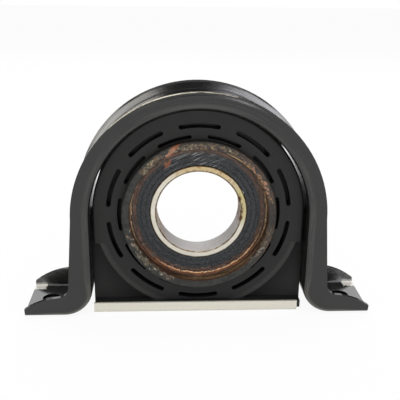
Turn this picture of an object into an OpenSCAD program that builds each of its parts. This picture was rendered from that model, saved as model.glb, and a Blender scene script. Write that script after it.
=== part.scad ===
/* [Bearing] */
// Diameter of the shaft bore
bore_d = 60; // [54:0.5:64]
// Outside diameter of the ball bearing
bearing_od = 95; // [92:0.5:104]
// Width of the bearing's outer ring
bearing_w = 18; // [17.5:0.1:19]
// Width of the bearing's inner ring
inner_ring_w = 19; // [17:0.1:22]
// Thickness of the inner ring from bore to shoulder
inner_wall = 4.65; // [4:0.05:5.2]
// Thickness of the outer ring from shoulder to outside
outer_wall = 4.6; // [4:0.05:5.2]
// Diameter of one ball
ball_d = 11.1; // [9.5:0.1:11.6]
// Number of balls
ball_count = 12; // [8:1:13]
// Groove radius as a multiple of the ball radius
groove_ratio = 1.04; // [1.01:0.01:1.08]
// Bevel at the ends of the shaft bore
bore_bevel = 1.1; // [0.4:0.1:1.6]
// Bevel on the outside edges of the outer ring
ring_bevel = 1; // [0.3:0.1:1.4]
// Bevel on the outside edges of the inner ring
shoulder_bevel = 0.5; // [0.2:0.1:0.8]

/* [Seals and cage] */
// Thickness of a seal
seal_t = 1.6; // [1:0.1:1.7]
// How far a seal lies behind the outer ring's face
seal_setback = 0.4; // [0.1:0.1:0.5]
// How far the seal's seat is cut into the outer ring's shoulder
seal_seat = 1.3; // [0.8:0.1:1.8]
// Depth of the ridge rings pressed into a seal's face
seal_groove = 0.4; // [0.2:0.1:0.6]
// Width of the cage ribbon across the ball row
cage_band = 4.6; // [3:0.1:5]
// Thickness of the cage ribbon
cage_sheet = 0.8; // [0.5:0.05:0.9]
// Diameter of a cage rivet's shank
rivet_d = 1.5; // [1:0.1:1.8]
// Diameter of a cage rivet's head
rivet_head_d = 2.8; // [2.2:0.1:3.4]
// Height of a cage rivet's head
rivet_head_h = 0.7; // [0.4:0.1:1]

/* [Sleeve] */
// Wall of the steel sleeve round the bearing
sleeve_wall = 1.4; // [0.8:0.1:2.5]
// Length of the steel sleeve
sleeve_len = 23; // [20:0.5:30]

/* [Cushion] */
// Height of the shaft axis over the mounting surface
axis_h = 74; // [73:0.5:84]
// Width of the rubber cushion
cushion_w = 150.6; // [148:0.2:156]
// Thickness of the cushion between its slotted faces
cushion_t = 25; // [22:0.5:30]
// Bevel round the cushion's edges
cushion_bevel = 1.2; // [0.5:0.1:2]
// Thickness of the hub's rubber wall
hub_wall = 5.5; // [4:0.1:6.5]
// Length of the hub
hub_len = 40; // [34:0.5:46]
// Rounding of the hub's outer edges
hub_round = 1.4; // [0.5:0.1:2]
// Bevel of the hub's opening
hub_bevel = 0.8; // [0.3:0.1:1.2]
// Width of the rim between the corner pockets' arc and the cushion's side
pocket_rim = 1.3; // [0.8:0.1:3]
// Drop from the shaft axis to the top of the corner pockets
pocket_drop = 22; // [18:0.5:30]
// Depth of the corner pockets
pocket_depth = 3.5; // [1:0.1:6]
// Height of the cushion's base flange
base_h = 5.6; // [3:0.1:6]
// Length of the cushion's seat under the crown of the bracket, in degrees
crown_span = 80; // [50:1:90]
// Width of the cushion's seats against the bracket
crown_w = 17; // [10:0.5:17.5]
// Drop from the shaft axis to the top of the cushion's seats against the legs
leg_seat_drop = 1.5; // [0.5:0.1:6]
// Height of the lower end of the cushion's seats against the legs
leg_seat_h = 2.5; // [2.5:0.5:20]

/* [Slots] */
// Number of slots in each row
slot_count = 10; // [6:1:11]
// Depth of the slots in each face
slot_depth = 9; // [5:0.5:10]
// Width of the outer slots
outer_slot_w = 3.3; // [2.5:0.1:4]
// Radius of the outer slots' centre line
outer_slot_r = 64.1; // [63:0.1:66]
// Length of an outer slot, in degrees
outer_slot_span = 26; // [16:1:28]
// Width of the inner slots
inner_slot_w = 2.8; // [2.2:0.1:3.4]
// Rubber left between the inner slots and the hub
slot_rim = 0.5; // [0.3:0.1:1]
// Length of an inner slot, in degrees
inner_slot_span = 25; // [16:1:27]

/* [Base plate] */
// Length of the base plate
plate_len = 148.5; // [120:0.5:154]
// How far the base plate sits to the right of the middle
plate_shift = -1.5; // [-2:0.1:2]
// Depth of the base plate over its lips
plate_depth = 39; // [34:0.5:44]
// Thickness of the base plate
plate_sheet = 1.6; // [1:0.1:2.2]
// Height of the base plate's lips
lip_h = 8; // [7.6:0.1:8.3]
// Inside radius of the lips' bends
lip_bend = 0.8; // [0.3:0.1:2]

/* [Bracket] */
// Thickness of the bracket's steel
sheet = 2.8; // [2.4:0.1:3.4]
// Depth of the bracket over its flanges at the arch
bracket_depth = 52; // [48:0.5:60]
// Overall length of the bracket
bracket_len = 250; // [244:0.5:270]
// Space between the cushion's sides and the bracket
web_gap = 1; // [0.8:0.1:3]
// Height of the flanges over the bracket's inner face
flange_h = 12.7; // [11:0.1:14]
// How far the flanges widen down the legs
flange_splay = 4.2; // [1:0.1:5]
// Lean of the flanges away from each other, in degrees
flange_flare = 10; // [4:0.5:14]
// Inside radius of the bends between web and flanges
fold_r = 1; // [0.5:0.1:1.6]
// Straight part of the flanges past their bends at the tips of the feet
tip_flange = 2.4; // [1:0.1:3.5]
// Outside radius of the bends between legs and feet
foot_bend = 20.5; // [17.5:0.5:22]
// Height of the flanges where the feet begin
foot_flange_h = 16.4; // [14:0.1:17.5]
// Radius of the flanges' curve along the feet
foot_crown_r = 53; // [40:1:80]
// Radius of the flanges' corner between leg and foot
foot_corner_r = 8; // [5:0.5:12]
// Distance from the ends of the feet to the middle of the bolt holes
hole_inset = 15.5; // [12:0.5:18]
// Diameter of the bolt holes
hole_d = 13.5; // [10:0.1:16]

/* [Fits] */
// Space between parts pressed or bonded together
press_gap = 0.04; // [0.02:0.01:0.1]
// Space between the balls and their grooves
ball_gap = 0.06; // [0.02:0.01:0.12]
// Space between the balls and the cage
pocket_gap = 0.15; // [0.1:0.01:0.25]
// Space between a seal's lip and the inner ring
lip_gap = 0.3; // [0.2:0.05:0.5]
// Space between the cushion and the metal that it seats in
seat_gap = 0.2; // [0.1:0.05:0.5]

/* [Hidden] */
$fn = 96;
overcut = 1;
arc_step = 5;
seal_ring_shares = [0.3, 0.7];
bend_core_r = 0.1;
fold_steps = 6;
bore_r = bore_d / 2;
bearing_r = bearing_od / 2;
ball_r = ball_d / 2;
pitch_r = (bore_r + bearing_r) / 2;
inner_shoulder_r = bore_r + inner_wall;
outer_shoulder_r = bearing_r - outer_wall;
seal_seat_r = outer_shoulder_r + seal_seat;
seal_face = bearing_w / 2 - seal_setback;
seal_back = seal_face - seal_t;
seal_in_r = inner_shoulder_r + lip_gap;
seal_out_r = seal_seat_r - press_gap;
groove_r = ball_r * groove_ratio;
ball_step = 360 / ball_count;
pocket_r = ball_r + pocket_gap;
sleeve_in_r = bearing_r + press_gap;
sleeve_out_r = sleeve_in_r + sleeve_wall;
hub_in_r = sleeve_out_r + press_gap;
hub_r = hub_in_r + hub_wall;
cushion_r = cushion_w / 2;
pocket_arc_r = cushion_r - pocket_rim;
slot_step = 360 / slot_count;
inner_slot_r = hub_r + slot_rim + inner_slot_w / 2;
web_r = cushion_r + web_gap;
crown_r = web_r - seat_gap;
half_depth = bracket_depth / 2;
half_len = bracket_len / 2;
fold_out = fold_r + sheet;
flange_r = web_r + flange_h;
flare_sin = sin(flange_flare);
flare_cos = cos(flange_flare);
flange_reach = foot_bend - bend_core_r;
fold_turns = [for (i = [0 : fold_steps]) (90 - flange_flare) * i / fold_steps];
web_half = half_depth - fold_out * flare_cos - (flange_h - fold_out * (1 - flare_sin)) * tan(flange_flare);
tip_h = fold_out + tip_flange;
foot_x = web_r + foot_bend;
lip_out = lip_bend + plate_sheet;
base_depth = plate_depth - 2 * plate_sheet - 2 * seat_gap;

function reversed(list) = [for (i = [len(list) - 1 : -1 : 0]) list[i]];

// Centre of the circle of the given radius through two points, below them
function arc_center(a, b, radius) =
    let (mid = (a + b) / 2, along = (b - a) / norm(b - a), half = norm(b - a) / 2)
    mid + sqrt(radius * radius - half * half) * [along[1], -along[0]];

// Points along a circle, the short way from one of its points to another
function arc_points(center, radius, from, to) =
    let (a = from - center, b = to - center, first = atan2(a[1], a[0]))
    let (turn = atan2(a[0] * b[1] - a[1] * b[0], a * b), steps = ceil(abs(turn) / arc_step))
    [for (i = [0 : steps]) center + radius * [cos(first + turn * i / steps), sin(first + turn * i / steps)]];

// The flanges' curve along a foot and the rounded corner that leads into it
crown_center = arc_center([foot_x, foot_flange_h], [half_len, tip_h], foot_crown_r);
leg_run = axis_h - foot_flange_h;
leg_dir = [flange_splay, -leg_run] / norm([flange_splay, leg_run]);
leg_out = [-leg_dir[1], leg_dir[0]];
corner_from = [flange_r, axis_h] + foot_corner_r * leg_out - crown_center;
corner_b = corner_from * leg_dir;
corner_c = corner_from * corner_from - pow(foot_crown_r + foot_corner_r, 2);
corner_along = -corner_b - sqrt(corner_b * corner_b - corner_c);
corner_leg = [flange_r, axis_h] + corner_along * leg_dir;
corner_center = corner_leg + foot_corner_r * leg_out;
corner_foot = crown_center + (corner_center - crown_center) * foot_crown_r / (foot_crown_r + foot_corner_r);

// Turns a shape made round Z so that it lies round the shaft axis
module on_shaft() {
    translate([0, 0, axis_h]) rotate([90, 0, 0]) children();
}

// Stands an outline drawn in X and Z up as a plate that ends at the given Y
module upright(thickness, rear_y) {
    translate([0, rear_y, 0]) rotate([90, 0, 0]) linear_extrude(thickness) children();
}

module both_sides() {
    children();
    mirror([1, 0, 0]) children();
}

module both_faces() {
    children();
    mirror([0, 0, 1]) children();
}

// One face of half the channel, bent by the given radius, from the middle of the web to the flange's end
function channel_face(radius) = concat(
    [for (turn = fold_turns) [fold_out - radius * cos(turn), web_half + radius * sin(turn)]],
    [[flange_reach, web_half + radius / flare_cos + (flange_reach - fold_out) * tan(flange_flare)]]
);

// Half of the channel's outline, round from the web's inner face to its outer face
channel_half = concat(channel_face(fold_out), reversed(channel_face(fold_r)));

// Web of the bracket with its two bends and leaning flanges, measured out from the web's inner face
module channel_section() {
    polygon(concat(channel_half, [for (point = reversed(channel_half)) [point[0], -point[1]]]));
}

// Right half of what lies inside the flanges' outer edge, below the arch
module leg_outline() {
    polygon(concat(
        [[0, axis_h], [0, -overcut], [half_len + overcut, -overcut], [half_len + overcut, tip_h]],
        arc_points(crown_center, foot_crown_r, [half_len, tip_h], corner_foot),
        arc_points(corner_center, foot_corner_r, corner_foot, corner_leg),
        [[flange_r, axis_h]]
    ));
}

// The same with the quarter of the arch on top
module bracket_outline() {
    leg_outline();
    translate([0, axis_h]) intersection() {
        circle(flange_r);
        square(flange_r);
    }
}

// The right half of the channel, bent along arch, leg and foot, with its flanges untrimmed
module bent_channel() {
    on_shaft() rotate_extrude(angle = 90) translate([web_r, 0]) channel_section();
    translate([0, 0, foot_bend]) linear_extrude(axis_h - foot_bend) translate([web_r, 0]) channel_section();
    translate([foot_x, 0, foot_bend]) rotate([90, 0, 0]) rotate([0, 0, 180])
        rotate_extrude(angle = 90) translate([foot_bend, 0]) mirror([1, 0, 0]) channel_section();
    translate([foot_x, 0, 0]) rotate([90, 0, 90]) linear_extrude(half_len - foot_x)
        mirror([1, -1, 0]) channel_section();
}

module bracket() {
    color("#2c2c2b") both_sides() difference() {
        intersection() {
            bent_channel();
            upright(2 * bracket_depth, bracket_depth) bracket_outline();
        }
        translate([half_len - hole_inset, 0, -overcut]) cylinder(d = hole_d, h = foot_bend);
    }
}

// Half of the base plate's section, from the middle to one lip
module plate_section() {
    corner_y = plate_depth / 2 - lip_out;
    square([corner_y, plate_sheet]);
    translate([plate_depth / 2 - plate_sheet, lip_out]) square([plate_sheet, lip_h - lip_out]);
    translate([corner_y, lip_out]) intersection() {
        difference() {
            circle(lip_out);
            circle(lip_bend);
        }
        translate([0, -lip_out]) square(lip_out);
    }
}

module base_plate() {
    color("#d9d8cc") translate([plate_shift - plate_len / 2, 0, 0]) rotate([90, 0, 90])
        linear_extrude(plate_len) both_sides() plate_section();
}

// One curved slot with round ends, sunk into the face at the given height
module slot(mid_r, width, span) {
    end_angle = span / 2 - asin(width / 2 / mid_r);
    translate([0, 0, cushion_t / 2 - slot_depth]) {
        rotate([0, 0, -end_angle]) rotate_extrude(angle = 2 * end_angle)
            translate([mid_r - width / 2, 0]) square([width, slot_depth + overcut]);
        for (turn = [-end_angle, end_angle]) {
            rotate([0, 0, turn]) translate([mid_r, 0, 0]) cylinder(d = width, h = slot_depth + overcut);
        }
    }
}

module slots() {
    for (i = [0 : slot_count - 1]) {
        rotate([0, 0, 90 + i * slot_step]) slot(outer_slot_r, outer_slot_w, outer_slot_span);
        rotate([0, 0, 90 + (i + 0.5) * slot_step]) slot(inner_slot_r, inner_slot_w, inner_slot_span);
    }
}

// The cushion's section from the shaft axis to its side, with bevelled edges
module cushion_section() {
    face = cushion_t / 2;
    polygon([
        [0, -face], [cushion_r - cushion_bevel, -face], [cushion_r, cushion_bevel - face],
        [cushion_r, face - cushion_bevel], [cushion_r - cushion_bevel, face], [0, face]
    ]);
}

// The hub's section, rounded outside and bevelled at its opening
module hub_section() {
    end = hub_len / 2;
    translate([hub_in_r, hub_round - end]) square([hub_wall, hub_len - 2 * hub_round]);
    for (side = [-1, 1]) {
        translate([hub_r - hub_round, side * (end - hub_round)]) circle(hub_round);
        polygon([
            [hub_in_r, side * (end - hub_round)], [hub_in_r, side * (end - hub_bevel)],
            [hub_in_r + hub_bevel, side * end], [hub_r - hub_round, side * end],
            [hub_r - hub_round, side * (end - hub_round)]
        ]);
    }
}

// The lowered corners of one face, drawn in X and Z
module pocket_outline() {
    pocket_top = axis_h - pocket_drop;
    difference() {
        translate([-cushion_r - overcut, plate_sheet + base_h])
            square([cushion_w + 2 * overcut, pocket_top - plate_sheet - base_h]);
        translate([0, axis_h]) circle(pocket_arc_r);
    }
}

// The base flange's section, bevelled below to clear the bends of the plate's lips
module base_section() {
    half = base_depth / 2;
    polygon([
        [lip_bend - half, 0], [half - lip_bend, 0], [half, lip_bend],
        [half, base_h], [-half, base_h], [-half, lip_bend]
    ]);
}

module cushion() {
    color("#333333") difference() {
        union() {
            on_shaft() rotate_extrude(angle = 180) cushion_section();
            both_sides() translate([0, 0, plate_sheet]) linear_extrude(axis_h - plate_sheet) cushion_section();
            translate([-cushion_r, 0, plate_sheet]) rotate([90, 0, 90]) linear_extrude(cushion_w) base_section();
            on_shaft() rotate([0, 0, 90 - crown_span / 2]) rotate_extrude(angle = crown_span)
                translate([0, -crown_w / 2]) square([crown_r, crown_w]);
            both_sides() translate([0, -crown_w / 2, leg_seat_h])
                cube([crown_r, crown_w, axis_h - leg_seat_drop - leg_seat_h]);
            on_shaft() rotate_extrude() hub_section();
        }
        on_shaft() cylinder(r = hub_in_r, h = hub_len + 2 * overcut, center = true);
        on_shaft() both_faces() slots();
        upright(pocket_depth + overcut, pocket_depth - cushion_t / 2) pocket_outline();
        upright(pocket_depth + overcut, cushion_t / 2 + overcut) pocket_outline();
    }
}

module bearing_sleeve() {
    color("#8a5a3a") on_shaft() rotate_extrude()
        translate([sleeve_in_r, -sleeve_len / 2]) square([sleeve_wall, sleeve_len]);
}

// Section of the ball groove, deep enough to leave the ball its running space
module groove_section(depth_sign) {
    translate([pitch_r + depth_sign * (ball_r + ball_gap - groove_r), 0]) circle(groove_r);
}

module outer_race() {
    half_w = bearing_w / 2;
    color("#9c6a44") on_shaft() rotate_extrude() difference() {
        polygon([
            [outer_shoulder_r, -seal_back], [seal_seat_r, -seal_back], [seal_seat_r, -half_w],
            [bearing_r - ring_bevel, -half_w], [bearing_r, ring_bevel - half_w],
            [bearing_r, half_w - ring_bevel], [bearing_r - ring_bevel, half_w],
            [seal_seat_r, half_w], [seal_seat_r, seal_back], [outer_shoulder_r, seal_back]
        ]);
        groove_section(1);
    }
}

module inner_race() {
    half_w = inner_ring_w / 2;
    color("#d8d0c0") on_shaft() rotate_extrude() difference() {
        polygon([
            [bore_r, bore_bevel - half_w], [bore_r + bore_bevel, -half_w],
            [inner_shoulder_r - shoulder_bevel, -half_w], [inner_shoulder_r, shoulder_bevel - half_w],
            [inner_shoulder_r, half_w - shoulder_bevel], [inner_shoulder_r - shoulder_bevel, half_w],
            [bore_r + bore_bevel, half_w], [bore_r, half_w - bore_bevel]
        ]);
        groove_section(-1);
    }
}

// A seal made round Z with its face up, with two shallow rings pressed into the face
module seal() {
    seal_w = seal_out_r - seal_in_r;
    rotate_extrude() difference() {
        translate([seal_in_r, seal_back]) square([seal_w, seal_t]);
        for (share = seal_ring_shares) {
            translate([seal_in_r + share * seal_w, seal_face]) circle(seal_groove);
        }
    }
}

module seal_front() {
    color("#3c4042") on_shaft() seal();
}

module seal_rear() {
    color("#3c4042") on_shaft() mirror([0, 0, 1]) seal();
}

// Ring between the cage ribbon's inner and outer edges
module cage_ring(height) {
    rotate_extrude() translate([pitch_r - cage_band / 2, 0]) square([cage_band, height]);
}

module at_balls() {
    for (i = [0 : ball_count - 1]) {
        rotate([0, 0, 90 + i * ball_step]) translate([pitch_r, 0, 0]) children();
    }
}

// Rivets sit half way between the balls
module at_rivets() {
    rotate([0, 0, ball_step / 2]) at_balls() children();
}

// Round pocket that runs across the cage ribbon
module pocket_barrel(radius) {
    rotate([0, 90, 0]) cylinder(r = radius, h = cage_band + 2 * overcut, center = true);
}

// Half of the ribbon cage: flats between the balls and a round pocket over each ball
module cage_half() {
    difference() {
        union() {
            cage_ring(cage_sheet);
            intersection() {
                cage_ring(pocket_r + cage_sheet);
                at_balls() pocket_barrel(pocket_r + cage_sheet);
            }
        }
        at_balls() pocket_barrel(pocket_r);
        at_rivets() cylinder(d = rivet_d + 2 * press_gap, h = 2 * cage_sheet + overcut, center = true);
    }
}

module cage_front() {
    color("#b08d57") on_shaft() cage_half();
}

module cage_rear() {
    color("#b08d57") on_shaft() mirror([0, 0, 1]) cage_half();
}

module cage_rivets() {
    color("#c9c9c9") on_shaft() at_rivets() {
        cylinder(d = rivet_d, h = 2 * cage_sheet, center = true);
        both_faces() translate([0, 0, cage_sheet]) cylinder(d = rivet_head_d, h = rivet_head_h);
    }
}

module ball(number) {
    color("#dddddd") on_shaft() rotate([0, 0, 90 + (number - 1) * ball_step])
        translate([pitch_r, 0, 0]) sphere(ball_r);
}

bracket();
base_plate();
cushion();
bearing_sleeve();
outer_race();
inner_race();
seal_front();
seal_rear();
cage_front();
cage_rear();
cage_rivets();
for (i = [1 : ball_count]) {
    ball(i);
}
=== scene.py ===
import math

import bpy
import numpy as np
from mathutils import Matrix, Vector


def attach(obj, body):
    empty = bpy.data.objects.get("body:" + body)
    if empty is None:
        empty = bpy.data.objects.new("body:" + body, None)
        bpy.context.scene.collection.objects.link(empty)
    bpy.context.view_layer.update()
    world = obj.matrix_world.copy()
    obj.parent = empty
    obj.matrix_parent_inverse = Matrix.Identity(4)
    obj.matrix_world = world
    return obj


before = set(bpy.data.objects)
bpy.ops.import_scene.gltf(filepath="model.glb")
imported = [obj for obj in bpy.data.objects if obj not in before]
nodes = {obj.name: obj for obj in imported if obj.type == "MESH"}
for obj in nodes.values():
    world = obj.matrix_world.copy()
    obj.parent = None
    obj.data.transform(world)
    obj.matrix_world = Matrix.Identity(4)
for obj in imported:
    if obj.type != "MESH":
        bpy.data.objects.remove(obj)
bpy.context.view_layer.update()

# Sizes of the solids, in millimetres
MM = 0.001
AXIS_H = 74.0
WEB_R = 76.3
FLANGE_R = 89.0
FOOT_BEND_R = 20.5
FOOT_BEND_X = WEB_R + FOOT_BEND_R
BOLT_HOLE_X = 109.5
BOLT_HOLE_R = 6.75
HUB_END = 20.0
HUB_R = 54.48
HUB_BORE_R = 48.98
HUB_BEVEL = 0.8
POCKET_ARC_R = 74.0
POCKET_TOP = -22.0
POCKET_FLOOR = 9.0
SLEEVE_END = 11.5
SLEEVE_IN_R = 47.54
RACE_END = 9.0
SEAL_SEAT_R = 44.2
SEAL_FACE = 8.6
BORE_R = 30.0
INNER_EDGE_R = 34.4

# Places on the paint, in millimetres: the die's line, whose groove gets painted shade, the band of painted
# highlight along the fold, and the painted reflections on the feet's tips
DIE_LINE_R = 83.6
FOLD_SHEEN_OFFSET = 3.3
FOLD_SHEEN_END_X = 118.0
TIP_GLINT_X = 116.0
TIP_GLINT_Y = 14.0
TIP_GLINT_TOP = 4.8

# Drips and wipes: angles in degrees round the shaft, slants in degrees to a millimetre
HUB_DRIP_ANGLE = 116.0
HUB_DRIP_SLANT = 1.67
SEAL_DRIP_ANGLE = 120.0
SEAL_DRIP_SLANT = 0.85
SEAL_DRIP_END_R = 39.6
WIPE_SLOPE = math.radians(24)

# Rust on the bearing's seat, with a painted highlight on the race's edge: how far its lines lie from the
# seal, in millimetres along the seat
RACE_EDGE_LINE = 3.2
SLEEVE_LINE = 4.6
SLEEVE_END_LINE = 6.8
HUB_LINE = 10.5

# Grease on the bearing's seat: its mesh, and its depth in millimetres
CRUST_TURNS = 480
CRUST_STEPS = 64
CRUST_SINK = 0.22
CRUST_MOST = 0.55
CRUST_EDGE = 0.6

# Lumps in the grease: how many waves make them, how often one goes round the shaft at most, and seeds
COARSE_WAVES = 60
COARSE_MOST = 60
FINE_WAVES = 80
FINE_MOST = 170
FRONT_SEED = 5
REAR_SEED = 8

# Where the grease lies: angle, half span, place along its line, half width along it, depth
FRONT_PATCHES = (
    (0, 400, 4.5, 3.0, 0.2),
    (88, 26, 19.6, 2.6, 0.46),
    (131, 12, 18.6, 3.0, 0.5),
    (35, 27, 18.8, 2.4, 0.3),
    (188, 16, 12.0, 5.0, 0.32),
    (-20, 13, 17.0, 5.0, 0.3),
    (-38, 9, 17.0, 4.0, 0.27),
    (216, 26, 16.0, 5.0, 0.31),
    (270, 42, 5.0, 4.0, 0.34),
    (268, 5, 12.0, 4.5, 0.34),
    (245, 8, 18.5, 2.5, 0.28),
    (110, 2.4, 20.6, 1.2, 0.48),
    (112.5, 2.4, 19.2, 1.4, 0.48),
    (115, 2.4, 17.8, 1.4, 0.48),
    (SEAL_DRIP_ANGLE, 2.6, 1.5, 1.2, 0.44))
REAR_PATCHES = (
    (0, 400, 4.5, 3.0, 0.25),
    (70, 40, 19.0, 2.4, 0.28),
    (150, 20, 17.0, 4.0, 0.3),
    (265, 50, 6.0, 5.0, 0.32))

# Half the width of the white floor, in metres
FLOOR_HALF = 4.0

# The photograph's camera
CAMERA_AZIMUTH = -3.03
CAMERA_ELEVATION = 19.06
CAMERA_ROLL = 0.69
CAMERA_DISTANCE = 0.4884
CAMERA_TARGET = Vector((0.0014, 0.0, 0.08016))
FOCAL_PIXELS = 674.4
PHOTO_PIXELS = 400
SENSOR_MM = 36.0


def colour(red, green, blue):
    """A screen colour, each part from 0 to 255, as the linear colour that nodes take."""
    parts = [part / 255 for part in (red, green, blue)]
    linear = [p / 12.92 if p <= 0.04045 else ((p + 0.055) / 1.055) ** 2.4 for p in parts]
    return (*linear, 1.0)


class Value:
    """One output of a finish's nodes. Arithmetic on it adds Math nodes."""

    def __init__(self, finish, socket):
        self.finish = finish
        self.socket = socket

    def __add__(self, other):
        return self.finish.maths("ADD", self, other)

    def __radd__(self, other):
        return self.finish.maths("ADD", other, self)

    def __sub__(self, other):
        return self.finish.maths("SUBTRACT", self, other)

    def __rsub__(self, other):
        return self.finish.maths("SUBTRACT", other, self)

    def __mul__(self, other):
        return self.finish.maths("MULTIPLY", self, other)

    def __rmul__(self, other):
        return self.finish.maths("MULTIPLY", other, self)

    def __abs__(self):
        return self.finish.maths("ABSOLUTE", self)


class Finish:
    """A node tree under construction, with the place on the part measured in millimetres."""

    def __init__(self, tree):
        self.tree = tree
        self.tree.nodes.clear()

    def node(self, kind, output=None, settings=None, sockets=None):
        """Adds a node, sets it, fills or links its sockets, and gives the output that is asked for."""
        made = self.tree.nodes.new("ShaderNode" + kind)
        for name, setting in (settings or {}).items():
            setattr(made, name, setting)
        for name, content in (sockets or {}).items():
            if isinstance(content, Value):
                self.tree.links.new(content.socket, made.inputs[name])
            else:
                made.inputs[name].default_value = content
        return None if output is None else Value(self, made.outputs[output])

    def other_output(self, value, output):
        """Another output of the node that a value comes from."""
        return Value(self, value.socket.node.outputs[output])

    def maths(self, operation, *terms):
        return self.node("Math", 0, {"operation": operation}, dict(enumerate(terms)))

    def smooth(self, value, low, high):
        """From 0 at low to 1 at high, with soft ends."""
        return self.node("MapRange", "Result", {"interpolation_type": "SMOOTHSTEP"},
                         {"Value": value, "From Min": low, "From Max": high})

    def mix(self, factor, first, second):
        return self.node("Mix", 2, {"data_type": "RGBA"}, {0: factor, 6: first, 7: second})

    def stretched(self, vector, amounts):
        return self.node("VectorMath", 0, {"operation": "MULTIPLY"}, {0: vector, 1: amounts})

    def noise(self, scale, detail=3.0, rough=0.55, where=None, bend=0.0):
        """Cloudy noise between 0 and 1, with scale spots to a millimetre."""
        return self.node("TexNoise", "Fac", {}, {
            "Vector": where or self.place,
            "Scale": scale,
            "Detail": detail,
            "Roughness": rough,
            "Distortion": bend,
        })

    def specks(self, scale, size):
        """Small round spots, 1 inside and 0 outside."""
        distance = self.node("TexVoronoi", "Distance", {}, {"Vector": self.place, "Scale": scale})
        return self.smooth(distance, size, size * 0.5)

    def bump(self, height, millimetres):
        """A normal for a surface that stands out by up to some millimetres where height is 1."""
        return self.node("Bump", "Normal", {}, {
            "Height": height, "Strength": 1.0, "Distance": millimetres * MM})

    def measure(self):
        """Finds the place on the part in millimetres, and the radius and angle round the shaft."""
        metres = self.node("TexCoord", "Object")
        self.place = self.stretched(metres, (1 / MM,) * 3)
        self.x = self.node("SeparateXYZ", "X", {}, {"Vector": self.place})
        self.y = self.other_output(self.x, "Y")
        self.z = self.other_output(self.x, "Z")
        self.rise = self.z - AXIS_H
        self.radius = self.maths("SQRT", self.x * self.x + self.rise * self.rise)
        self.angle = self.maths("ARCTAN2", self.rise, self.x) * math.degrees(1)

    def facing(self):
        """How far the surface looks to the rear and upwards, each from -1 to 1."""
        rear = self.node("SeparateXYZ", "Y", {}, {"Vector": self.node("NewGeometry", "Normal")})
        return rear, self.other_output(rear, "Z")

    def near_angle(self, middle, half_span, soft):
        """1 near an angle round the shaft, fading to 0 past half_span."""
        away = self.maths("PINGPONG", self.angle - middle, 180.0)
        return self.smooth(away, half_span + soft, half_span - soft)

    def around(self, across, along):
        """A place that runs across and along the rings round the shaft, for marks that follow them."""
        turn = self.maths("PINGPONG", self.angle + 90.0, 180.0)
        return self.node("CombineXYZ", "Vector", {}, {
            "X": self.radius * across, "Y": turn * along, "Z": self.y * across})

    def surface(self, sockets):
        """Ends a material in one principled shader with these sockets."""
        shader = self.node("BsdfPrincipled", "BSDF", {}, sockets)
        self.node("OutputMaterial", None, {}, {"Surface": shader})


def new_finish(name):
    """A new material, ready for its nodes."""
    material = bpy.data.materials.new(name)
    material.use_nodes = True
    finish = Finish(material.node_tree)
    finish.measure()
    finish.material = material
    return finish


def above_web(paint):
    """How far a place lies from the bracket's web, round the arch, down the legs and along the feet."""
    aside = paint.maths("MINIMUM", abs(paint.x), FOOT_BEND_X)
    overhead = paint.maths("MAXIMUM", paint.rise, 0.0)
    from_leg = paint.maths("SQRT", aside * aside + overhead * overhead) - WEB_R
    inward = FOOT_BEND_X - aside
    downward = paint.maths("MAXIMUM", FOOT_BEND_R - paint.z, 0.0)
    return from_leg + inward - paint.maths("SQRT", inward * inward + downward * downward)


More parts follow.
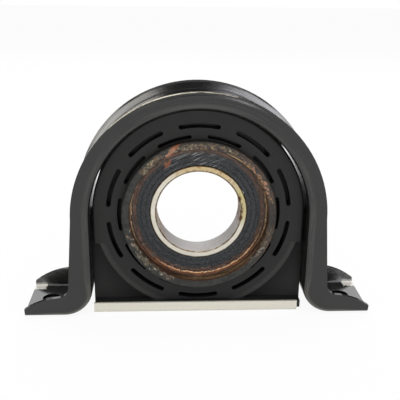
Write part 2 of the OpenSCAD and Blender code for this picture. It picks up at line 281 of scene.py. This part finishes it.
def black_paint():
    """Glossy paint, glossiest inside the channel, rubbed through to bare metal along the arch's rim, with
    painted highlights on the rim and along the fold, painted shade in the die's groove and painted
    reflections on the feet's tips.
    """
    paint = new_finish("black_paint")
    rear, up = paint.facing()
    outwards = paint.y * rear
    in_channel = paint.smooth(outwards, 0.0, -3.0)
    in_front = paint.smooth(paint.y, 0.0, -1.0)
    on_arch = paint.smooth(paint.rise, 2, 25)
    at_foot = paint.smooth(paint.z, 34.0, 12.0)
    from_web = above_web(paint)

    mottle = paint.noise(0.05, 4)
    peel = paint.noise(0.7, 2)
    ragged = (paint.noise(0.35, 5, 0.7) - 0.5) * 7.0
    streaks = paint.noise(1.0, 4, 0.65, paint.around(0.5, 0.03))
    scuffs = paint.noise(1.0, 5, 0.7, paint.around(0.9, 0.14))
    along_sheet = paint.node("CombineXYZ", "Vector", {}, {
        "X": from_web * 0.35, "Y": paint.y * 0.35, "Z": paint.z * 0.03})
    drawn = paint.noise(1.0, 4, 0.6, along_sheet)

    rim = paint.smooth(paint.radius, FLANGE_R - 0.45, FLANGE_R - 0.1) * on_arch * in_front
    worn_left = paint.near_angle(117, 16, 8)
    worn_top = 0.7 * paint.near_angle(88, 14, 8)
    worn_right = 0.45 * paint.near_angle(60, 12, 8)
    # Bare metal where the paint is rubbed through at the rim; its pale colour is also a painted highlight
    # on the rim's edge
    bare_and_glint = rim * paint.smooth(scuffs + (worn_left + worn_top + worn_right) * 0.4, 0.72, 0.9)
    near_rim = paint.smooth(paint.radius, FLANGE_R - 1.2 - 2.8 * in_front, FLANGE_R)
    rounding = near_rim * paint.near_angle(90, 34, 20) * (0.25 + 0.45 * in_front)

    # Painted reflection: pale patches on the upward faces at the feet's rear tips, standing in for
    # reflections on the glossy paint
    at_tips = paint.smooth(abs(paint.x) + ragged, TIP_GLINT_X, TIP_GLINT_X + 1.0)
    at_rear = paint.smooth(paint.y + ragged, TIP_GLINT_Y, TIP_GLINT_Y + 1.0)
    near_sole = paint.smooth(paint.z + ragged * 0.3, TIP_GLINT_TOP + 0.6, TIP_GLINT_TOP)
    tip_glint = at_tips * at_rear * near_sole * paint.smooth(up, 0.1, 0.3)

    die_line = on_arch * paint.smooth(abs(paint.radius - DIE_LINE_R), 0.5, 0.1)
    # Painted highlight: a lighter band of colour along the fold, standing in for the sheen on the fold's
    # rounding
    from_sheen_line = abs(from_web - FOLD_SHEEN_OFFSET + at_foot * 1.5) + at_foot * 0.6
    before_tips = paint.smooth(abs(paint.x), FOLD_SHEEN_END_X, FOLD_SHEEN_END_X - 14.0)
    outer_face = paint.smooth(outwards, 0.5, 5.0)
    fold_sheen = paint.smooth(from_sheen_line, 2.8, 0.2) * outer_face * before_tips
    fold_sheen_colour = paint.mix(at_foot, colour(54, 54, 52), colour(92, 90, 83))
    dust = paint.specks(0.9, 0.09) * paint.smooth(up, 0.6, 0.9)

    black = paint.mix(mottle, colour(15, 15, 15), colour(26, 26, 25))
    # Painted shade: the die's groove is darkened in colour
    groove_shaded = paint.mix(die_line * 0.6, black, colour(8, 8, 8))
    # The fold's painted highlight, broken up by the drawn noise
    fold_sheened = paint.mix(fold_sheen * paint.smooth(drawn, 0.25, 0.6), groove_shaded, fold_sheen_colour)
    dusty = paint.mix(dust * 0.5, fold_sheened, colour(120, 116, 108))
    # Pale colour of the painted reflections at the feet's tips
    tip_glinted = paint.mix(tip_glint, dusty, colour(216, 214, 204))
    paint.surface({
        "Base Color": paint.mix(bare_and_glint, tip_glinted, colour(226, 218, 196)),
        "Roughness": 0.12 + mottle * 0.1 + bare_and_glint * 0.15 + die_line * 0.1,
        "Metallic": bare_and_glint * 0.5,
        "Specular IOR Level": 0.58,
        "Coat Weight": in_channel * paint.smooth(streaks, 0.3, 0.7),
        "Coat Roughness": 0.12,
        "Normal": paint.bump(peel * 0.03 + drawn * 0.02 - die_line * 0.06 - rounding, 1.0),
    })
    return paint.material


def seat_rust(finish):
    """Rust on the bearing's seat: dark brown, with orange and golden lines that follow the rings, and a
    cream painted highlight on the race's outer edge.

    Gives its colour, and the arcs and crumbs in it.
    """
    arcs = finish.noise(1.0, 4, 0.6, finish.around(2.6, 0.06))
    crumbs = finish.noise(1.4, 4, 0.7)
    wander = (finish.noise(0.2, 5, 0.7) - 0.5) * 5.2
    outward = finish.radius + abs(finish.y) - (SEAL_SEAT_R + RACE_END) + wander
    low = finish.near_angle(-88, 52, 24)
    sides = finish.near_angle(2, 26, 12) + finish.near_angle(176, 26, 10)
    brown = finish.mix(finish.smooth(arcs, 0.45, 0.6), colour(30, 24, 20), colour(98, 62, 38))
    at_sleeve = finish.smooth(abs(outward - SLEEVE_LINE), 2.4, 0.8)
    orange = finish.mix(low * at_sleeve * finish.smooth(arcs, 0.42, 0.56), brown, colour(158, 98, 60))
    # Painted highlight: a broken cream line along the race's outer edge, low down
    at_race_edge = finish.smooth(abs(outward - RACE_EDGE_LINE), 0.9, 0.3)
    creamy = at_race_edge * finish.near_angle(-74, 46, 14) * finish.smooth(crumbs, 0.41, 0.54)
    cream = finish.mix(creamy, orange, colour(222, 174, 124))
    at_sleeve_end = finish.smooth(abs(outward - SLEEVE_END_LINE), 0.9, 0.3)
    golden = at_sleeve_end * sides * finish.smooth(crumbs, 0.44, 0.58)
    at_hub = finish.smooth(abs(outward - HUB_LINE), 3.2, 1.6)
    below = at_hub * finish.near_angle(-66, 34, 14) * finish.smooth(arcs, 0.46, 0.6)
    return finish.mix(golden + below * 0.6, cream, colour(194, 164, 122)), arcs, crumbs


def drip_trail(finish, angle, radius, slant):
    """A drip that passes a given angle at a given radius, and leans by slant degrees to a millimetre."""
    wander = (finish.noise(0.4, 2) - 0.5) * 5.0
    aside = finish.angle + wander - angle + slant * (finish.radius - radius)
    return finish.smooth(abs(aside), 4.2, 2.4)


def moulded_rubber():
    """Black rubber, with painted shade in the corner pockets and a painted highlight along their edge, with
    a grey film, copper stains and a drip on the hub.
    """
    rubber = new_finish("moulded_rubber")
    cloud = rubber.noise(0.06, 4)
    grain = rubber.noise(2.2, 3)
    mark = rubber.noise(0.5, 5, 0.65)
    near_end = rubber.smooth(abs(rubber.y), 13.0, 16.0)
    on_hub = rubber.smooth(rubber.radius, HUB_R + 0.3, HUB_R - 0.3) * near_end
    in_seat = rubber.smooth(rubber.radius, HUB_BORE_R + 0.5, HUB_BORE_R + 0.2)
    black = rubber.mix(cloud, colour(24, 24, 24), colour(36, 36, 35))
    past_arc = rubber.radius - POCKET_ARC_R
    low_down = rubber.smooth(rubber.rise, POCKET_TOP + 0.6, POCKET_TOP)
    in_pocket = low_down * rubber.smooth(abs(rubber.y), POCKET_FLOOR + 1.5, POCKET_FLOOR + 0.5)
    # Painted shade in the corner pockets, darkest near the arc above them
    shaded = rubber.mix(in_pocket * rubber.smooth(past_arc, 20.0, -1.0), black, colour(3, 3, 3))
    # Painted highlight: a lighter, mottled line on the raised face along the pocket's edge
    on_edge = low_down * rubber.smooth(abs(past_arc + 1.6), 3.4, 0.2) * (1 - in_pocket)
    edged = rubber.mix(on_edge * mark, shaded, colour(56, 56, 55))
    film = on_hub * rubber.smooth(rubber.noise(0.3, 4), 0.2, 0.8)
    filmed = rubber.mix(film, edged, colour(56, 57, 54))
    coppery = 0.6 * rubber.near_angle(35, 28, 12) + 0.6 * rubber.near_angle(-20, 12, 8)
    copper = on_hub * (coppery + 0.2 * rubber.near_angle(90, 26, 10)) * rubber.smooth(mark, 0.4, 0.6)
    on_lip = on_hub * rubber.smooth(rubber.radius, HUB_BORE_R + 1.2, HUB_BORE_R + 0.7)
    golden = on_lip * rubber.near_angle(52, 16, 8) * rubber.smooth(mark, 0.35, 0.5)
    coppered = rubber.mix(copper * 0.7, filmed, colour(104, 76, 54))
    lipped = rubber.mix(golden * 0.8, coppered, colour(186, 158, 108))
    rust, _, _ = seat_rust(rubber)
    rusted = rubber.mix(in_seat * 0.85, lipped, rust)
    on_face = on_hub * rubber.smooth(abs(rubber.y), HUB_END - 3.0, HUB_END)
    drip = on_face * drip_trail(rubber, HUB_DRIP_ANGLE, HUB_BORE_R, HUB_DRIP_SLANT)
    stained = rubber.mix(drip * rubber.smooth(mark, 0.34, 0.5) * 0.85, rusted, colour(134, 82, 55))
    dust = rubber.specks(0.8, 0.1) * rubber.smooth(mark, 0.5, 0.62)
    hub_dust = on_hub * rubber.specks(1.1, 0.14) * mark
    rubber.surface({
        "Base Color": rubber.mix((dust + hub_dust) * 0.5, stained, colour(128, 130, 124)),
        "Roughness": 0.5 + cloud * 0.15 - copper * 0.15,
        "Specular IOR Level": 0.22,
        "Normal": rubber.bump(grain + mark * on_hub, 0.03),
    })
    return rubber.material


def plated_sheet():
    """Pale plated steel, with rolling lines along the plate."""
    sheet = new_finish("plated_sheet")
    lines = sheet.noise(1.0, 4, 0.6, sheet.stretched(sheet.place, (0.02, 1.6, 1.6)))
    cloud = sheet.noise(0.04, 3)
    pale = sheet.mix(lines, colour(196, 194, 180), colour(220, 218, 205))
    sheet.surface({
        "Base Color": sheet.mix(cloud, pale, colour(206, 203, 190)),
        "Roughness": 0.34 + lines * 0.16,
        "Metallic": 0.35,
        "Normal": sheet.bump(lines, 0.02),
    })
    return sheet.material


def rusty_steel(name):
    """Steel browned all over, with rust in arcs round the shaft, brightest below."""
    steel = new_finish(name)
    rust, arcs, crumbs = seat_rust(steel)
    steel.surface({
        "Base Color": rust,
        "Roughness": 0.36 + crumbs * 0.3,
        "Metallic": 0.1,
        "Normal": steel.bump(crumbs + arcs, 0.1),
    })
    return steel.material


def dried_grease():
    """Preservative grease dried over rust: olive and cream above, copper at the sides, grey dust below."""
    grease = new_finish("dried_grease")
    patches = grease.noise(0.13, 5, 0.65, None, 0.8)
    fine = grease.noise(0.5, 5, 0.7, None, 0.6)
    rust, _, _ = seat_rust(grease)
    on_hub = grease.smooth(abs(grease.y), HUB_END - 3.8, HUB_END - 2.0)
    brown = grease.mix(grease.smooth(fine, 0.44, 0.58), colour(30, 24, 17), colour(98, 76, 48))
    olive = grease.mix(grease.smooth(patches, 0.48, 0.6) * 0.7, brown, colour(74, 62, 41))
    copper_sides = grease.near_angle(30, 26, 12) + grease.near_angle(185, 18, 10)
    coppery = copper_sides + grease.near_angle(-90, 20, 10)
    copper = grease.mix(coppery * grease.smooth(fine, 0.46, 0.58), olive, colour(142, 96, 60))
    creamy = grease.near_angle(104, 40, 12) * grease.smooth(patches + fine, 1.06, 1.18)
    cream = grease.mix(creamy * 0.7, copper, colour(160, 150, 118))
    dust_low = grease.near_angle(220, 34, 14) + grease.near_angle(-36, 12, 8)
    dusty = dust_low * grease.smooth(fine, 0.5, 0.6)
    dulled = grease.mix(dusty * 0.85, cream, colour(126, 130, 120))
    drip = on_hub * drip_trail(grease, HUB_DRIP_ANGLE, HUB_BORE_R, HUB_DRIP_SLANT)
    red_brown = grease.mix(fine, colour(104, 60, 40), colour(174, 126, 96))
    dripped = grease.mix(drip * 0.9, dulled, red_brown)
    grease.surface({
        "Base Color": grease.mix(on_hub, rust, dripped),
        "Roughness": 0.22 + patches * 0.3,
        "Normal": grease.bump(fine, 0.15),
    })
    return grease.material


def ground_steel():
    """Bright ground steel, brassy above, olive at the right, browned at its edges and pitted."""
    steel = new_finish("ground_steel")
    rings = steel.noise(1.0, 3, 0.6, steel.stretched(steel.place, (0.15, 3.0, 0.15)))
    cloud = steel.noise(0.12, 4)
    in_bore = steel.smooth(steel.radius, BORE_R + 0.5, BORE_R + 0.2)
    on_edge = steel.smooth(abs(steel.radius - INNER_EDGE_R), 0.7, 0.2)
    blotch = steel.noise(0.3, 5, 0.65)
    brass = steel.near_angle(80, 42, 20)
    olive = steel.near_angle(12, 24, 14)
    clean = steel.mix(rings, colour(186, 182, 168), colour(216, 212, 199))
    brassy = steel.mix(brass * (0.5 + cloud * 0.5), clean, colour(176, 150, 96))
    blotched = steel.mix(brass * steel.smooth(blotch, 0.52, 0.62) * 0.7, brassy, colour(122, 86, 50))
    aged = steel.mix(olive * (0.4 + cloud * 0.6), blotched, colour(166, 152, 82))
    bore = steel.mix(in_bore * 0.9, aged, colour(182, 178, 178))
    gilt_sides = steel.near_angle(180, 34, 14) + steel.near_angle(10, 26, 10)
    gilt = in_bore * gilt_sides * steel.smooth(blotch, 0.34, 0.56)
    gilded = steel.mix(gilt * 0.7, bore, colour(148, 114, 62))
    on_bevel = steel.smooth(steel.radius, BORE_R + 1.4, BORE_R + 1.0) * (1 - in_bore)
    brown_bevel = on_bevel * (0.55 + 0.45 * steel.smooth(blotch, 0.4, 0.6))
    brown_edge = on_edge * steel.smooth(cloud, 0.25, 0.55)
    edged = steel.mix(brown_bevel + brown_edge, gilded, colour(112, 88, 56))
    at_side = steel.near_angle(6, 20, 8) * steel.smooth(steel.radius, BORE_R + 2.6, BORE_R + 1.4)
    rusted = steel.mix(at_side * steel.smooth(blotch, 0.44, 0.54), edged, colour(92, 64, 34))
    specked = steel.near_angle(-58, 34, 8) * in_bore + steel.near_angle(40, 50, 20) * 0.7
    pits = steel.specks(0.55, 0.3) * specked * steel.smooth(blotch, 0.44, 0.52)
    steel.surface({
        "Base Color": steel.mix(pits * 0.85, rusted, colour(62, 52, 46)),
        "Roughness": 0.28 + cloud * 0.16 + in_bore * 0.25,
        "Metallic": 0.75 - pits * 0.5 - in_bore * 0.3,
        "Normal": steel.bump(rings, 0.02),
    })
    return steel.material


def seal_rubber():
    """Dark seal, speckled, with long slanting wipes above and the end of a drip."""
    rubber = new_finish("seal_rubber")
    cloud = rubber.noise(0.15, 4)
    grain = rubber.noise(0.9, 4, 0.7)
    turned = rubber.noise(1.0, 3, 0.6, rubber.around(1.6, 0.04))
    lengthwise = rubber.x * math.cos(WIPE_SLOPE) + rubber.rise * math.sin(WIPE_SLOPE)
    across = rubber.rise * math.cos(WIPE_SLOPE) - rubber.x * math.sin(WIPE_SLOPE)
    slanted = rubber.node("CombineXYZ", "Vector", {}, {"X": lengthwise * 0.05, "Y": across * 0.8})
    wipes = rubber.noise(1.0, 3, 0.6, slanted)
    wiped = rubber.near_angle(92, 26, 12) * rubber.smooth(wipes, 0.52, 0.62)
    dust = rubber.specks(0.9, 0.12) * rubber.smooth(cloud, 0.4, 0.6)
    outer_part = rubber.smooth(rubber.radius, SEAL_DRIP_END_R, SEAL_DRIP_END_R + 1.2)
    drip = outer_part * drip_trail(rubber, SEAL_DRIP_ANGLE, SEAL_SEAT_R, SEAL_DRIP_SLANT)
    black = rubber.mix(rubber.smooth(grain, 0.36, 0.64), colour(18, 20, 22), colour(54, 57, 59))
    greyed = rubber.mix(wiped * 0.65 + dust * 0.4, black, colour(142, 144, 142))
    rubber.surface({
        "Base Color": rubber.mix(drip * 0.85, greyed, colour(134, 84, 56)),
        "Roughness": 0.4 + cloud * 0.2,
        "Specular IOR Level": 0.3,
        "Normal": rubber.bump(turned + grain * 0.6, 0.06),
    })
    return rubber.material


def pressed_sheet():
    """Yellowish pressed steel for the cage."""
    sheet = new_finish("pressed_cage_sheet")
    cloud = sheet.noise(0.3, 4)
    sheet.surface({
        "Base Color": sheet.mix(cloud, colour(150, 128, 98), colour(190, 172, 140)),
        "Roughness": 0.32 + cloud * 0.15,
        "Metallic": 0.9,
        "Normal": sheet.bump(cloud, 0.02),
    })
    return sheet.material


def polished_ball():
    """Mirror-bright steel, slightly clouded."""
    steel = new_finish("polished_ball")
    cloud = steel.noise(0.2, 4)
    steel.surface({
        "Base Color": steel.mix(cloud, colour(205, 206, 208), colour(228, 228, 228)),
        "Roughness": 0.06 + cloud * 0.06,
        "Metallic": 1.0,
    })
    return steel.material


def crust_line():
    """The line that the grease follows, from the seal to the hub's end.

    Gives distances along the line, and at each the radius and the place along the shaft.
    """
    corners = np.array([
        (SEAL_SEAT_R - 2.0, SEAL_FACE), (SEAL_SEAT_R, SEAL_FACE), (SEAL_SEAT_R, RACE_END),
        (SLEEVE_IN_R - 1.0, RACE_END), (SLEEVE_IN_R, RACE_END + 0.6), (SLEEVE_IN_R, SLEEVE_END),
        (HUB_BORE_R, SLEEVE_END), (HUB_BORE_R, HUB_END - HUB_BEVEL), (HUB_BORE_R + HUB_BEVEL, HUB_END),
        (HUB_R - 0.7, HUB_END)])
    along = np.concatenate([[0], np.cumsum(np.linalg.norm(np.diff(corners, axis=0), axis=1))])
    steps = np.linspace(0, along[-1], CRUST_STEPS)
    return steps, np.stack([np.interp(steps, along, corners[:, part]) for part in (0, 1)], axis=1)


def ripples(chance, turn, along, count, finest):
    """Smooth lumps that close round the shaft, from many waves of random direction, about 1 high."""
    total = np.zeros_like(turn)
    for _ in range(count):
        around = chance.integers(3, finest)
        across = chance.uniform(-1, 1) * finest / HUB_BORE_R
        total += np.sin(around * turn + across * along + chance.uniform(0, 2 * math.pi))
    return total / math.sqrt(count / 2)


def crust_amount(turn, along, patches):
    """How deep the grease lies at each place, from a list of patches."""
    amount = np.zeros_like(turn)
    for middle, half_span, place, half_width, much in patches:
        away = np.abs((np.degrees(turn) - middle + 180) % 360 - 180) / half_span
        aside = np.abs(along - place) / half_width
        amount = np.maximum(amount, much * np.exp(-away ** 4 - aside ** 4))
    return amount


def smoothed(slope):
    """The line's direction averaged over its neighbours, so that the grease rounds the corners."""
    reach = 2
    span = 2 * reach + 1
    kernel = np.ones(span) / span
    padded = np.pad(slope, ((reach, reach), (0, 0)), "edge")
    return np.stack([np.convolve(padded[:, part], kernel, "valid") for part in (0, 1)], axis=1)


def lay_crust(name, side, patches, seed):
    """A lumpy skin of grease round the bearing's seat, sunk under the surface where there is none."""
    steps, line = crust_line()
    slope = smoothed(np.gradient(line, axis=0))
    slope /= np.linalg.norm(slope, axis=1, keepdims=True)
    turns = np.arange(CRUST_TURNS) * 2 * math.pi / CRUST_TURNS
    turn, along = np.meshgrid(turns, steps, indexing="ij")
    chance = np.random.default_rng(seed)
    coarse = ripples(chance, turn, along, COARSE_WAVES, COARSE_MOST)
    fine = ripples(chance, turn, along, FINE_WAVES, FINE_MOST)
    lumps = coarse * 0.5 + fine * 0.5
    height = crust_amount(turn, along, patches) * (1 + 0.5 * lumps) + 0.06 * lumps - CRUST_SINK
    ends = np.minimum(along, steps[-1] - along)
    height = np.where(ends < CRUST_EDGE, -CRUST_SINK, np.clip(height, -CRUST_SINK, CRUST_MOST))
    radius = line[:, 0] - slope[:, 1] * height
    shaft = line[:, 1] + slope[:, 0] * height
    points = [radius * np.cos(turn), side * shaft, AXIS_H + radius * np.sin(turn)]
    points = np.stack(points, axis=-1) * MM
    first = np.arange(CRUST_TURNS)[:, None] * CRUST_STEPS + np.arange(CRUST_STEPS - 1)[None, :]
    following = (first + CRUST_STEPS) % (CRUST_TURNS * CRUST_STEPS)
    faces = np.stack([first, following, following + 1, first + 1], axis=-1).reshape(-1, 4)
    if side > 0:
        faces = faces[:, ::-1]
    mesh = bpy.data.meshes.new(name)
    mesh.from_pydata(points.reshape(-1, 3).tolist(), [], faces.tolist())
    mesh.shade_smooth()
    crust = bpy.data.objects.new(name, mesh)
    bpy.context.scene.collection.objects.link(crust)
    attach(crust, "hanger")
    return crust


def dress(material, *names):
    """Gives CAD nodes one finish."""
    for name in names:
        nodes[name].data.materials.clear()
        nodes[name].data.materials.append(material)


def aim_camera():
    """The photograph's viewing angle, framed as 400 by 400 pixels."""
    azimuth = math.radians(CAMERA_AZIMUTH)
    elevation = math.radians(CAMERA_ELEVATION)
    roll = math.radians(CAMERA_ROLL)
    level = math.cos(elevation)
    forward = Vector((-math.sin(azimuth) * level, math.cos(azimuth) * level, -math.sin(elevation)))
    right = forward.cross(Vector((0, 0, 1))).normalized()
    up = right.cross(forward)
    rolled_right = right * math.cos(roll) + up * math.sin(roll)
    rolled_up = up * math.cos(roll) - right * math.sin(roll)
    place = Matrix((rolled_right, rolled_up, -forward)).transposed().to_4x4()
    place.translation = CAMERA_TARGET - forward * CAMERA_DISTANCE
    camera = bpy.data.objects.new("camera", bpy.data.cameras.new("camera"))
    camera.data.sensor_width = SENSOR_MM
    camera.data.lens = FOCAL_PIXELS / PHOTO_PIXELS * SENSOR_MM
    camera.matrix_world = place
    bpy.context.scene.collection.objects.link(camera)
    bpy.context.scene.camera = camera


def lay_floor():
    """A white sheet that stays white to the camera and to reflections, and takes the part's shadow.

    Inside the two bolt holes its colour is painted dark, as painted shade.
    """
    corners = [(x * FLOOR_HALF, y * FLOOR_HALF, 0) for x, y in ((-1, -1), (1, -1), (1, 1), (-1, 1))]
    mesh = bpy.data.meshes.new("floor")
    mesh.from_pydata(corners, [], [(0, 1, 2, 3)])
    floor = bpy.data.objects.new("floor", mesh)
    bpy.context.scene.collection.objects.link(floor)
    paper = new_finish("floor_paper")
    seen = paper.node("LightPath", "Is Camera Ray")
    glossy = paper.other_output(seen, "Is Glossy Ray")
    through = paper.other_output(seen, "Is Transmission Ray")
    mirrored = paper.maths("MAXIMUM", glossy, through)
    aside = abs(paper.x) - BOLT_HOLE_X
    from_hole = paper.maths("SQRT", aside * aside + paper.y * paper.y)
    open_floor = paper.smooth(from_hole, BOLT_HOLE_R - 0.5, BOLT_HOLE_R + 0.5)
    # Painted shade: the floor's colour is dark inside the bolt holes
    shaded = paper.mix(open_floor, colour(30, 30, 30), colour(240, 240, 240))
    diffuse = paper.node("BsdfDiffuse", "BSDF", {}, {"Color": shaded})
    white = paper.node("Emission", "Emission", {}, {"Color": (1, 1, 1, 1), "Strength": 1.0})
    share = (seen * 0.92 + mirrored * 0.7) * open_floor
    mixed = paper.node("MixShader", "Shader", {}, {0: share, 1: diffuse, 2: white})
    paper.node("OutputMaterial", None, {}, {"Surface": mixed})
    mesh.materials.append(paper.material)


def light_sky():
    """A white surround for the camera, and for the part a dome that is dark near the horizon."""
    world = bpy.data.worlds.new("studio")
    bpy.context.scene.world = world
    world.use_nodes = True
    sky = Finish(world.node_tree)
    direction = sky.node("TexCoord", "Generated")
    height = sky.node("SeparateXYZ", "Z", {}, {"Vector": direction})
    dome = 0.08 + 0.72 * sky.smooth(height, 0.28, 0.5)
    plain = sky.node("Background", "Background", {}, {"Color": (1, 1, 1, 1), "Strength": dome})
    white = sky.node("Background", "Background", {}, {"Color": (1, 1, 1, 1), "Strength": 1.0})
    seen = sky.node("LightPath", "Is Camera Ray")
    mixed = sky.node("MixShader", "Shader", {}, {0: seen, 1: plain, 2: white})
    sky.node("OutputWorld", None, {}, {"Surface": mixed})


def hang_lamp(name, place, aim, size, watts, tint):
    """A rectangular area lamp at a place, turned to what it lights."""
    lamp = bpy.data.lights.new(name, "AREA")
    lamp.shape = "RECTANGLE"
    lamp.size = size[0]
    lamp.size_y = size[1]
    lamp.energy = watts
    lamp.color = tint
    made = bpy.data.objects.new(name, lamp)
    made.location = place
    made.rotation_mode = "QUATERNION"
    made.rotation_quaternion = (Vector(aim) - Vector(place)).to_track_quat("-Z", "Y")
    bpy.context.scene.collection.objects.link(made)


def light_studio():
    """A broad lamp overhead, a panel behind, and a warm and a cool box low at either side of the camera."""
    middle = (0, 0, 0.1)
    hang_lamp("top_lamp", (0.0, -0.25, 1.1), middle, (1.2, 1.0), 5.0, (1.0, 1.0, 1.0))
    hang_lamp("back_panel", (0.0, 1.3, 0.85), middle, (1.6, 0.6), 6.5, (1.0, 1.0, 1.0))
    hang_lamp("left_box", (-0.42, -1.13, 0.18), middle, (0.50, 0.36), 3.0, (1.0, 0.98, 0.93))
    hang_lamp("right_box", (0.47, -1.10, 0.18), middle, (0.60, 0.36), 4.4, (0.97, 0.95, 1.0))


bpy.context.scene.view_settings.view_transform = "Standard"
aim_camera()
lay_floor()
light_sky()
light_studio()
dress(black_paint(), "bracket")
dress(plated_sheet(), "base_plate")
dress(moulded_rubber(), "cushion")
dress(rusty_steel("rusty_sleeve"), "bearing_sleeve")
dress(rusty_steel("rusty_outer_race"), "outer_race")
dress(ground_steel(), "inner_race")
dress(seal_rubber(), "seal_front", "seal_rear")
dress(pressed_sheet(), "cage_front", "cage_rear", "cage_rivets")
dress(polished_ball(), *[name for name in nodes if name.startswith("ball_")])
grease = dried_grease()
lay_crust("grease_front", -1, FRONT_PATCHES, FRONT_SEED).data.materials.append(grease)
lay_crust("grease_rear", 1, REAR_PATCHES, REAR_SEED).data.materials.append(grease)
